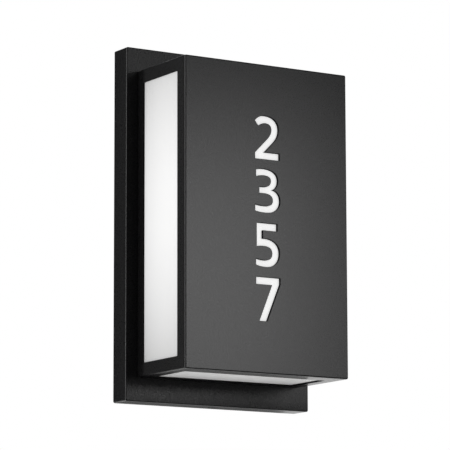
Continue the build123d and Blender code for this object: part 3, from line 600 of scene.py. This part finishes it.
def opal_finish(node, name, brightness, fall, shift_mm):
    """Opal acrylic that is lit from behind, brightest near the middle of a piece."""
    low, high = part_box(node)
    centre = (low + high) / 2 + Vector(shift_mm) * MM
    reach = (high - low) / 2
    finish, shader = start_finish(name, SPILL_GREY, roughness=0.5)
    finish.diffuse_color = (*OPAL_WHITE, 1.0)
    lit = place_group(finish, lit_group, Centre=centre, Reach=reach, Fall=fall)
    tree = finish.node_tree
    looked_at = tree.nodes.new("ShaderNodeLightPath").outputs["Is Camera Ray"]
    vary_colour(finish, shader, looked_at, OPAL_WHITE)
    tint = tree.nodes.new("ShaderNodeMix")
    tint.data_type = "RGBA"
    tint.inputs["A"].default_value = NO_GLOW
    tint.inputs["B"].default_value = (brightness, brightness, brightness, 1.0)
    tree.links.new(math_node(tree, "MULTIPLY", lit.outputs["Glow"], looked_at), tint.inputs["Factor"])
    tree.links.new(tint.outputs["Result"], shader.inputs["Emission Color"])
    shader.inputs["Emission Strength"].default_value = 1.0
    cloud = place_group(finish, skin_group, Size_mm=14.0, Fine_share=0.2)
    vary_roughness(finish, shader, cloud.outputs["Value"], low=0.46, high=0.54)
    return finish


# name, brightness, fall along X, Y and Z, and the brightest spot's shift from the middle in millimetres
OPAL_SHEETS = {
    "left_diffuser": ("opal_left", 0.585, (0, 0.16, 0.50), (0, -9, 9)),
    "right_diffuser": ("opal_right", 0.585, (0, 0.16, 0.50), (0, -9, 9)),
    "bottom_diffuser": ("opal_bottom", 0.15, (0.3, 0.3, 0), (-10, -8, 0)),
    "number_diffuser": ("opal_numbers", 0.55, (0.03, 0, 0.06), (0, 0, 0)),
}
opal_of_node = {node: opal_finish(node, *values) for node, values in OPAL_SHEETS.items()}
print("opal sheets", sorted(opal_of_node))

# %% [markdown]
# **Zinc plate and brass.** Zinc plated steel is a pale grey metal with a cold tint and the rolling lines
# of the strip under it. Nuts, studs and screws share it: on such small pieces the lines are too fine to
# tell apart. Brass has the same kind of lines from the die that the bar was drawn through.

# %% Finish: zinc plate and brass
LINE_MM = 0.15
LINE_DEPTH_MM = 0.004
ALONG_Z = (1.0, 1.0, 0.01)
ALONG_Y = (1.0, 0.05, 1.0)


def lined_metal(name, colour, tint, roughness, stretch):
    """A metal with fine lines, and a cloud of a second tint."""
    finish, shader = start_finish(name, colour, roughness, metallic=1.0)
    rolled = place_group(finish, lines_group, Line_mm=LINE_MM, Stretch=stretch)
    vary_roughness(finish, shader, rolled.outputs["Value"], roughness - 0.08, roughness + 0.10)
    cloud = place_group(finish, skin_group, Size_mm=18.0, Fine_share=0.3)
    vary_colour(finish, shader, cloud.outputs["Value"], tint)
    add_bump(finish, shader, rolled.outputs["Value"], LINE_DEPTH_MM)
    return finish


# slot: name, colour, tint, roughness, direction of the lines
METALS = {
    "zinc_steel": ("zinc_plate", (0.58, 0.59, 0.60), (0.66, 0.68, 0.71), 0.34, ALONG_Z),
    "brass": ("turned_brass", (0.72, 0.52, 0.22), (0.80, 0.62, 0.30), 0.26, ALONG_Y),
}
for slot, values in METALS.items():
    finishes[slot] = lined_metal(*values)
print("zinc and brass ready")

# %% [markdown]
# **Dyed and blackened screws.** The ground screw is dyed green so that nobody takes it for another, and
# the set screw has a thin black oxide, through which the steel's shine still shows.

# %% Finish: green and black screws
DYE_GREEN = (0.030, 0.20, 0.055)
WORN_STEEL = (0.45, 0.46, 0.44)
OXIDE_BLACK = (0.018, 0.018, 0.020)

green, shader = start_finish("green_dyed_steel", DYE_GREEN, roughness=0.36, metallic=0.75)
lacquer = place_group(green, skin_group, Size_mm=0.6, Fine_share=0.4)
vary_roughness(green, shader, lacquer.outputs["Value"], low=0.28, high=0.44)
wear = place_group(green, edge_wear_and_highlight_group, Width_mm=0.25, Strength=2.0, Patch_mm=2.0)
vary_colour(green, shader, wear.outputs["Mask"], WORN_STEEL)
finishes["green_steel"] = green

oxide, shader = start_finish("black_oxide", OXIDE_BLACK, roughness=0.42, metallic=0.6)
film = place_group(oxide, skin_group, Size_mm=0.5, Fine_share=0.4)
vary_roughness(oxide, shader, film.outputs["Value"], low=0.34, high=0.50)
finishes["black_steel"] = oxide
print(green.name, oxide.name)

# %% [markdown]
# **Foam and rubber.** Closed cell foam is a mass of tiny bubbles, cut open at its faces. A Voronoi
# texture is made of cells, and its distance to the cell's middle is the bubble's hollow. Rubber is plain,
# dark and slightly uneven.

# %% Finish: foam and rubber
CELL_MM = 0.7
CELL_DEPTH_MM = 0.25
CELL_CONTRAST = 0.6
FOAM_BLACK = (0.028, 0.028, 0.029)
CELL_WALL_GREY = (0.07, 0.07, 0.07)
RUBBER_BLACK = (0.020, 0.020, 0.020)

foam, shader = start_finish("closed_cell_foam", FOAM_BLACK, roughness=0.9)
cells = foam.node_tree.nodes.new("ShaderNodeTexVoronoi")
cells.inputs["Scale"].default_value = 1 / (CELL_MM * MM)
foam.node_tree.links.new(object_place(foam.node_tree), cells.inputs["Vector"])
cell_walls = math_node(foam.node_tree, "MULTIPLY", cells.outputs["Distance"], CELL_CONTRAST)
vary_colour(foam, shader, cell_walls, CELL_WALL_GREY)
add_bump(foam, shader, cells.outputs["Distance"], CELL_DEPTH_MM)
finishes["foam"] = foam

rubber, shader = start_finish("moulded_rubber", RUBBER_BLACK, roughness=0.62)
surface = place_group(rubber, skin_group, Size_mm=2.5, Fine_share=0.3)
vary_roughness(rubber, shader, surface.outputs["Value"], low=0.55, high=0.72)
add_bump(rubber, shader, surface.outputs["Height"], depth_mm=0.03)
finishes["rubber"] = rubber
print(foam.name, rubber.name)

# %% [markdown]
# **White inner finishes.** The reflector tray has a matt white coat, the board a white solder mask with a
# trace of gloss, the driver's case a spark-eroded moulded skin, and the terminal block is natural nylon,
# which is a little yellow and lets some light in.

# %% Finish: whites
def moulded_finish(name, colour, shade, roughness, grain_mm, relief_mm):
    """A coat or a moulding: a colour with a faint cloud, a varied roughness and a fine relief."""
    finish, shader = start_finish(name, colour, roughness)
    grain = place_group(finish, skin_group, Size_mm=grain_mm, Fine_share=0.6)
    cloud = place_group(finish, skin_group, Size_mm=22.0, Fine_share=0.2)
    vary_colour(finish, shader, cloud.outputs["Value"], shade)
    vary_roughness(finish, shader, grain.outputs["Value"], roughness - 0.06, roughness + 0.08)
    add_bump(finish, shader, grain.outputs["Height"], relief_mm)
    return finish


# slot: name, colour, shade, roughness, grain in millimetres, relief in millimetres
WHITES = {
    "white_coat": ("matt_white_coat", (0.82, 0.82, 0.81), (0.76, 0.76, 0.75), 0.62, 0.8, 0.02),
    "board_white": ("solder_mask", (0.84, 0.85, 0.84), (0.79, 0.81, 0.79), 0.30, 3.0, 0.01),
    "driver_case": ("driver_moulding", (0.78, 0.78, 0.77), (0.72, 0.72, 0.71), 0.52, 0.5, 0.04),
    "terminal_plastic": ("nylon", (0.78, 0.76, 0.67), (0.72, 0.69, 0.58), 0.38, 1.5, 0.01),
}
for slot, values in WHITES.items():
    finishes[slot] = moulded_finish(*values)
print("whites", sorted(WHITES))

# %% [markdown]
# **Wires.** Insulation is smooth and slightly waxy. The sleeve over the LED lead is silicone and softer.

# %% Finish: wires
# the same columns as for the whites
WIRES = {
    "lead_sleeve": ("silicone_sleeve", (0.62, 0.62, 0.61), (0.56, 0.56, 0.55), 0.58, 0.6, 0.02),
    "wire_black": ("black_insulation", (0.022, 0.022, 0.023), (0.03, 0.03, 0.03), 0.34, 2.0, 0.01),
    "wire_green": ("green_insulation", (0.045, 0.27, 0.07), (0.06, 0.32, 0.09), 0.34, 2.0, 0.01),
}
for slot, values in WIRES.items():
    finishes[slot] = moulded_finish(*values)
print("wires", sorted(WIRES))

# %% [markdown]
# **LEDs.** A white LED is a small white moulding with a lens of yellow silicone, which holds the phosphor
# powder. Both are one solid here, so the material tells them apart by the distance from the board: beyond
# the moulding's height, everything is lens.

# %% Finish: LEDs
LED_BODY_MM = 0.72
BODY_WHITE = (0.86, 0.86, 0.84)
LENS_YELLOW = (0.86, 0.60, 0.09)
POWDER_YELLOW = (0.76, 0.46, 0.05)
POWDER_CONTRAST = 0.5

led, shader = start_finish("led_phosphor", BODY_WHITE, roughness=0.28)
grain = place_group(led, skin_group, Size_mm=0.15, Fine_share=0.5)
height_split = led.node_tree.nodes.new("ShaderNodeSeparateXYZ")
led.node_tree.links.new(object_place(led.node_tree), height_split.inputs[0])
lens_start = board_front - LED_BODY_MM * MM
is_lens = math_node(led.node_tree, "LESS_THAN", height_split.outputs["Y"], lens_start)
vary_colour(led, shader, is_lens, LENS_YELLOW)
powder = math_node(led.node_tree, "MULTIPLY", is_lens, grain.outputs["Value"])
faint_powder = math_node(led.node_tree, "MULTIPLY", powder, POWDER_CONTRAST)
vary_colour(led, shader, faint_powder, POWDER_YELLOW)
vary_roughness(led, shader, grain.outputs["Value"], low=0.20, high=0.32)
add_bump(led, shader, grain.outputs["Height"], depth_mm=0.01)
finishes["led_phosphor"] = led
print(led.name, "lens beyond", round(lens_start, 5))

# %% [markdown]
# ## Dress the construction pieces
#
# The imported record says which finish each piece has. Opal sheets get their own version, because the light
# falls on each of them differently.

# %% Give each piece its finish
slot_of_node = {part["node"]: part["material_slot"] for part in frame["record"]["subparts"]}
for name, piece in nodes.items():
    piece.data.materials.clear()
    piece.data.materials.append(opal_of_node.get(name) or finishes[slot_of_node[name]])
print("dressed", len(nodes), "pieces")

# %% [markdown]
# ## The number plate
#
# The real plate is a sheet with the numerals cut through it by a laser and the edges softened before it
# is coated. The model has it plain. Here it is made again: a block to the plate's size, its four corners
# rounded, and then its front edge, which draws a thin light line and a thin dark one beside it. The
# corners' radius is the larger one, or the two roundings would run into each other. The back edge is
# slightly broken, which gives the fine dark seam between plate and housing. Then plain numerals are cut
# through. A printed-on image would be quicker, but it would have no depth, and the dark cut edge beside
# each stroke is what makes the real one look crisp.

# %% Helpers for modelling
SHARP_ANGLE = radians(20)
SAME_LENGTH = 1e-5


def activate(piece):
    """Makes a piece the only selected one, and the active one."""
    bpy.ops.object.select_all(action="DESELECT")
    piece.select_set(True)
    bpy.context.view_layer.objects.active = piece


def settle(piece):
    """Puts a piece's place, turn and size into its mesh."""
    activate(piece)
    bpy.ops.object.transform_apply(location=True, rotation=True, scale=True)


def add_block(name, low, high):
    """A block between two corners."""
    bpy.ops.object.select_all(action="DESELECT")
    bpy.ops.mesh.primitive_cube_add(size=1, location=(Vector(low) + Vector(high)) / 2)
    piece = bpy.context.object
    piece.name = name
    piece.scale = Vector(high) - Vector(low)
    settle(piece)
    return piece


def pick_edges(piece, wanted):
    """Selects the sharp edges for which wanted(end, other end) is true, and stays in edit mode."""
    activate(piece)
    bpy.ops.object.mode_set(mode="EDIT")
    bpy.ops.mesh.select_mode(type="EDGE")
    bpy.ops.mesh.select_all(action="DESELECT")
    shape = bmesh.from_edit_mesh(piece.data)
    for edge in shape.edges:
        sharp = edge.calc_face_angle(0.0) > SHARP_ANGLE
        edge.select_set(sharp and wanted(*(corner.co for corner in edge.verts)))
    bmesh.update_edit_mesh(piece.data)


def bevel_edges(piece, wanted, width, segments):
    """Rounds the wanted edges."""
    pick_edges(piece, wanted)
    bpy.ops.mesh.bevel(offset=width, segments=segments, affect="EDGES")
    bpy.ops.object.mode_set(mode="OBJECT")


def near(value, other):
    """Whether two lengths are the same but for rounding."""
    return abs(value - other) < SAME_LENGTH


def apply_modifiers(piece):
    """Applies all of a piece's modifiers, in order."""
    activate(piece)
    for modifier in list(piece.modifiers):
        bpy.ops.object.modifier_apply(modifier=modifier.name)


def soften(piece, degrees=30):
    """Smooth shading, with a crease wherever faces meet at more than this angle."""
    activate(piece)
    bpy.ops.object.shade_smooth_by_angle(angle=radians(degrees))


def even_normals(piece):
    """Lets wide faces keep their own direction, so that only the narrow rounded ones bend the light."""
    weigh = piece.modifiers.new("weigh", "WEIGHTED_NORMAL")
    weigh.keep_sharp = True
    apply_modifiers(piece)


def finish_piece(piece, body, slot, material=None):
    """Gives a piece its finish and lets it ride on a body."""
    piece.data.materials.clear()
    piece.data.materials.append(material or finishes[slot])
    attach(piece, body)
    print(piece.name, len(piece.data.polygons), "faces, rides on", body)


print("modelling helpers ready")

# %% Make the plain plate
PLATE_CORNER = 1.4 * MM
PLATE_FRONT_ROUND = 1.2 * MM
PLATE_BACK_BREAK = 0.3 * MM
ROUND_STEPS = 6

plate = add_block("numbered_plate", plate_low, plate_high)
bevel_edges(plate, lambda a, b: near(a.x, b.x) and near(a.z, b.z), PLATE_CORNER, ROUND_STEPS)
bevel_edges(plate, lambda a, b: near(a.y, plate_low.y) and near(a.y, b.y), PLATE_FRONT_ROUND, ROUND_STEPS)
bevel_edges(plate, lambda a, b: near(a.y, plate_high.y) and near(a.y, b.y), PLATE_BACK_BREAK, 1)
print(plate.name, len(plate.data.polygons), "faces")

# %% [markdown]
# The numerals are drawn the way a sign cutter draws them: an outline of straight lines and of curves with
# two guide points each, in millimetres from the numeral's middle. Text from a lettering file would be
# quicker, but its strokes would be another weight and shape. A list of two numbers is a corner that a
# straight line leads to, and a list of six is a curve: two guide points, then the point that it ends at.
# The number is a made-up one. None of its numerals has a closed loop, whose middle would fall out.

# %% Draw the numerals
NUMERALS = "2357"
NUMERAL_PITCH = 46.0
NUMERAL_SHIFT = 0.6
OUTLINES = {
    "2": [
        (-12.7, 14.0),
        (-9.9, 17.0, -6.6, 18.65, -2.3, 18.65),
        (5.8, 18.65, 11.1, 14.6, 11.1, 7.6),
        (11.1, 3.0, 9.1, -0.6, 5.2, -4.4),
        (-3.2, -12.8),
        (11.9, -12.8),
        (11.9, -18.75),
        (-12.6, -18.75),
        (-12.6, -13.6),
        (-1.0, -2.0),
        (2.7, 1.7, 3.8, 4.3, 3.8, 7.2),
        (3.8, 10.3, 1.5, 12.4, -2.3, 12.4),
        (-4.8, 12.4, -7.0, 11.3, -9.1, 9.3),
    ],
    "3": [
        (-11.7, 17.8),
        (-9.5, 18.5, -7.0, 18.9, -4.4, 18.9),
        (4.8, 18.9, 10.1, 15.8, 10.1, 9.9),
        (10.1, 5.6, 8.3, 2.8, 4.6, 1.5),
        (9.7, 0.6, 12.3, -2.6, 12.3, -7.6),
        (12.3, -14.4, 6.8, -18.4, -2.2, -18.4),
        (-6.4, -18.4, -9.8, -18.1, -12.7, -17.4),
        (-12.7, -11.8),
        (-9.6, -12.6, -6.2, -12.9, -2.8, -12.9),
        (2.3, -12.9, 5.0, -11.3, 5.0, -7.7),
        (5.0, -4.0, 2.0, -1.9, -4.2, -1.9),
        (-8.5, -1.9),
        (-8.5, 3.3),
        (-4.4, 3.3),
        (0.6, 3.3, 3.1, 5.5, 3.1, 9.1),
        (3.1, 12.0, 0.6, 13.4, -4.0, 13.4),
        (-6.8, 13.4, -9.3, 12.9, -11.7, 12.1),
    ],
    "5": [
        (-11.3, 18.5),
        (9.3, 18.5),
        (9.3, 12.3),
        (-5.3, 12.3),
        (-5.3, 5.2),
        (4.8, 6.0, 11.6, 1.6, 11.6, -6.2),
        (11.6, -14.2, 6.2, -18.7, -2.4, -18.7),
        (-6.2, -18.7, -9.5, -18.2, -12.1, -17.3),
        (-12.1, -11.8),
        (-9.4, -12.8, -6.1, -13.2, -3.0, -13.2),
        (1.6, -13.2, 4.2, -11.0, 4.2, -6.9),
        (4.2, -2.8, 1.0, -0.9, -4.8, -0.9),
        (-7.0, -0.9, -9.2, -1.1, -11.3, -1.6),
    ],
    "7": [
        (-12.0, 18.5),
        (12.0, 18.5),
        (12.0, 13.4),
        (-1.2, -18.7),
        (-8.9, -18.7),
        (3.9, 12.3),
        (-12.0, 12.3),
    ],
}
print({character: len(outline) for character, outline in OUTLINES.items()}, "points")

# %% [markdown]
# The outline becomes a closed curve, which Blender fills and thickens into a solid. Stood up and pushed
# through the plate, it is a cutter. Afterwards the sharp rim that a laser leaves is broken by a small
# bevel, so that it catches a thin line of light. The wide faces then keep their own normals, or the
# smooth shading would spread the narrow roundings' light over the whole plate.

# %% Make the cutters and cut
NUMERAL_BREAK = 0.2 * MM
CUTTER_DEPTH = 5.0
CURVE_STEPS = 10


def guide_point(step, first, here, neighbour):
    """One guide point of a curve, or for a straight line the point a third of the way along it."""
    if len(step) == 6:
        return Vector((*step[first : first + 2], 0))
    return here.lerp(neighbour, 1 / 3)


def numeral_outline(curve, outline):
    """Adds an outline of lines and curves to a curve, as one closed spline."""
    spline = curve.splines.new("BEZIER")
    spline.bezier_points.add(len(outline) - 1)
    spline.use_cyclic_u = True
    spline.resolution_u = CURVE_STEPS
    for index, point in enumerate(spline.bezier_points):
        here = Vector((*outline[index][-2:], 0))
        before = Vector((*outline[index - 1][-2:], 0))
        following = outline[(index + 1) % len(outline)]
        after = Vector((*following[-2:], 0))
        point.co = here
        point.handle_left = guide_point(outline[index], 2, here, before)
        point.handle_right = guide_point(following, 0, here, after)


def numeral_cutter(character, place):
    """A solid numeral, upright and facing forward, whose middle is at the place."""
    curve = bpy.data.curves.new("cutter", "CURVE")
    curve.dimensions = "2D"
    curve.fill_mode = "BOTH"
    curve.extrude = CUTTER_DEPTH
    numeral_outline(curve, OUTLINES[character])
    cutter = bpy.data.objects.new("cutter", curve)
    bpy.context.collection.objects.link(cutter)
    activate(cutter)
    bpy.ops.object.convert(target="MESH")
    cutter = bpy.context.object
    cutter.data.transform(Matrix.Rotation(pi / 2, 4, "X") @ Matrix.Scale(MM, 4))
    cutter.data.transform(Matrix.Translation(place))
    bpy.ops.object.mode_set(mode="EDIT")
    bpy.ops.mesh.select_all(action="SELECT")
    bpy.ops.mesh.remove_doubles(threshold=0.002 * MM)
    bpy.ops.mesh.normals_make_consistent(inside=False)
    bpy.ops.object.mode_set(mode="OBJECT")
    return cutter


def cut_away(piece, cutter):
    """Cuts one solid out of another and deletes the cutter."""
    modifier = piece.modifiers.new("cut", "BOOLEAN")
    modifier.operation = "DIFFERENCE"
    modifier.solver = "EXACT"
    modifier.object = cutter
    apply_modifiers(piece)
    bpy.data.objects.remove(cutter, do_unlink=True)


for row, character in enumerate(NUMERALS):
    height = (len(NUMERALS) / 2 - 0.5 - row) * NUMERAL_PITCH * MM
    cut_away(plate, numeral_cutter(character, Vector((NUMERAL_SHIFT * MM, plate_low.y, height))))
    print(character, "cut, plate has", len(plate.data.polygons), "faces")

# %% Break the rims of the numerals
def on_numeral_rim(a, b):
    """Whether an edge lies in the front face and away from the plate's own outline."""
    return all(near(end.y, plate_low.y) and abs(end.x) < plate_high.x / 2 for end in (a, b))


bevel_edges(plate, on_numeral_rim, NUMERAL_BREAK, 1)
soften(plate, degrees=25)
even_normals(plate)
finish_piece(plate, "lamp", "black_coat")
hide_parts("number_plate")

# %% [markdown]
# ## The set screw
#
# The lamp hangs on its hook by its own weight, and one small screw from below keeps it from being lifted
# off. The model's screw has a plain shank. This one has a thread, made the way a lathe makes it: a tool
# that follows a V-shaped path goes round the shank and climbs one pitch a turn. The Screw modifier does
# that with a profile as high as one pitch, so that the top of each turn meets the bottom of the next.
# Rings stacked up would be quicker, but they don't climb, and a reader who looks along the shank sees it
# at once.

# %% Helper: a threaded rod
THREAD_STEPS = 40
THREAD_DEPTH_SHARE = 0.54
CREST_SHARE = 0.12
SPARE_TURNS = 2


def thread_profile(name, radius, pitch):
    """One pitch of a V thread as a line: root, up to the flat crest, down to the next root."""
    curve = bpy.data.curves.new(name, "CURVE")
    spline = curve.splines.new("POLY")
    root = radius - THREAD_DEPTH_SHARE * pitch
    crest_start = (0.5 - CREST_SHARE / 2) * pitch
    crest_end = (0.5 + CREST_SHARE / 2) * pitch
    corners = [(root, 0.0), (radius, crest_start), (radius, crest_end), (root, pitch)]
    spline.points.add(len(corners) - 1)
    for point, (distance, height) in zip(spline.points, corners):
        point.co = (distance, 0.0, height, 1.0)
    curve.dimensions = "3D"
    profile = bpy.data.objects.new(name, curve)
    bpy.context.collection.objects.link(profile)
    activate(profile)
    bpy.ops.object.convert(target="MESH")
    return bpy.context.object


def trim(height, keep_above):
    """Cuts the piece that is in edit mode level at a height, and closes the cut.

    With the usual threshold, a tenth of a millimetre, the cut would snap to the thread's own points.
    """
    bpy.ops.mesh.select_all(action="SELECT")
    bpy.ops.mesh.bisect(
        plane_co=(0, 0, height),
        plane_no=(0, 0, 1),
        use_fill=True,
        clear_inner=keep_above,
        clear_outer=not keep_above,
        threshold=0.0001 * MM,
    )


def threaded_rod(name, radius, pitch, low, high):
    """A rod on the Z axis with a V thread, cut level at both ends."""
    rod = thread_profile(name, radius, pitch)
    wind = rod.modifiers.new("wind", "SCREW")
    wind.axis = "Z"
    wind.screw_offset = pitch
    wind.iterations = int((high - low) / pitch) + 2 * SPARE_TURNS
    wind.steps = THREAD_STEPS
    wind.render_steps = THREAD_STEPS
    apply_modifiers(rod)
    rod.data.transform(Matrix.Translation((0, 0, low - SPARE_TURNS * pitch)))
    bpy.ops.object.mode_set(mode="EDIT")
    bpy.ops.mesh.select_all(action="SELECT")
    bpy.ops.mesh.remove_doubles(threshold=0.001 * MM)
    trim(low, keep_above=True)
    trim(high, keep_above=False)
    bpy.ops.mesh.select_all(action="SELECT")
    bpy.ops.mesh.normals_make_consistent(inside=False)
    bpy.ops.object.mode_set(mode="OBJECT")
    return rod


print("thread helper ready")

# %% Make the set screw
SCREW_PITCH = 0.7 * MM
SCREW_RADIUS = 2.0 * MM
SCREW_HEAD_RADIUS = 4.0 * MM
SCREW_HEAD_HEIGHT = 2.4 * MM
SCREW_HEAD_BREAK = 0.4 * MM
SOCKET_ACROSS_FLATS = 2.5 * MM
SOCKET_DEPTH = 1.5 * MM
SHANK_IN_HEAD = 0.3 * MM

screw_low, screw_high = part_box("set_screw")
screw_axis = Vector(((screw_low.x + screw_high.x) / 2, (screw_low.y + screw_high.y) / 2, 0))
head_top = screw_low.z + SCREW_HEAD_HEIGHT

bpy.ops.object.select_all(action="DESELECT")
bpy.ops.mesh.primitive_cylinder_add(
    vertices=64,
    radius=SCREW_HEAD_RADIUS,
    depth=SCREW_HEAD_HEIGHT,
    location=screw_axis + Vector((0, 0, screw_low.z + SCREW_HEAD_HEIGHT / 2)),
)
screw_head = bpy.context.object
screw_head.name = "set_screw_head"
settle(screw_head)
bevel_edges(screw_head, lambda a, b: near(a.z, screw_low.z) and near(a.z, b.z), SCREW_HEAD_BREAK, 3)

bpy.ops.mesh.primitive_cylinder_add(
    vertices=6,
    radius=SOCKET_ACROSS_FLATS / 2 / cos(pi / 6),
    depth=2 * SOCKET_DEPTH,
    location=screw_axis + Vector((0, 0, screw_low.z)),
)
socket_cutter = bpy.context.object
settle(socket_cutter)
cut_away(screw_head, socket_cutter)
soften(screw_head)
finish_piece(screw_head, "set_screw", "black_steel")
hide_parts("set_screw")

shank_start = head_top - SHANK_IN_HEAD
screw_shank = threaded_rod("set_screw_shank", SCREW_RADIUS, SCREW_PITCH, shank_start, screw_high.z)
screw_shank.data.transform(Matrix.Translation(screw_axis))
soften(screw_shank, degrees=35)
finish_piece(screw_shank, "set_screw", "black_steel")
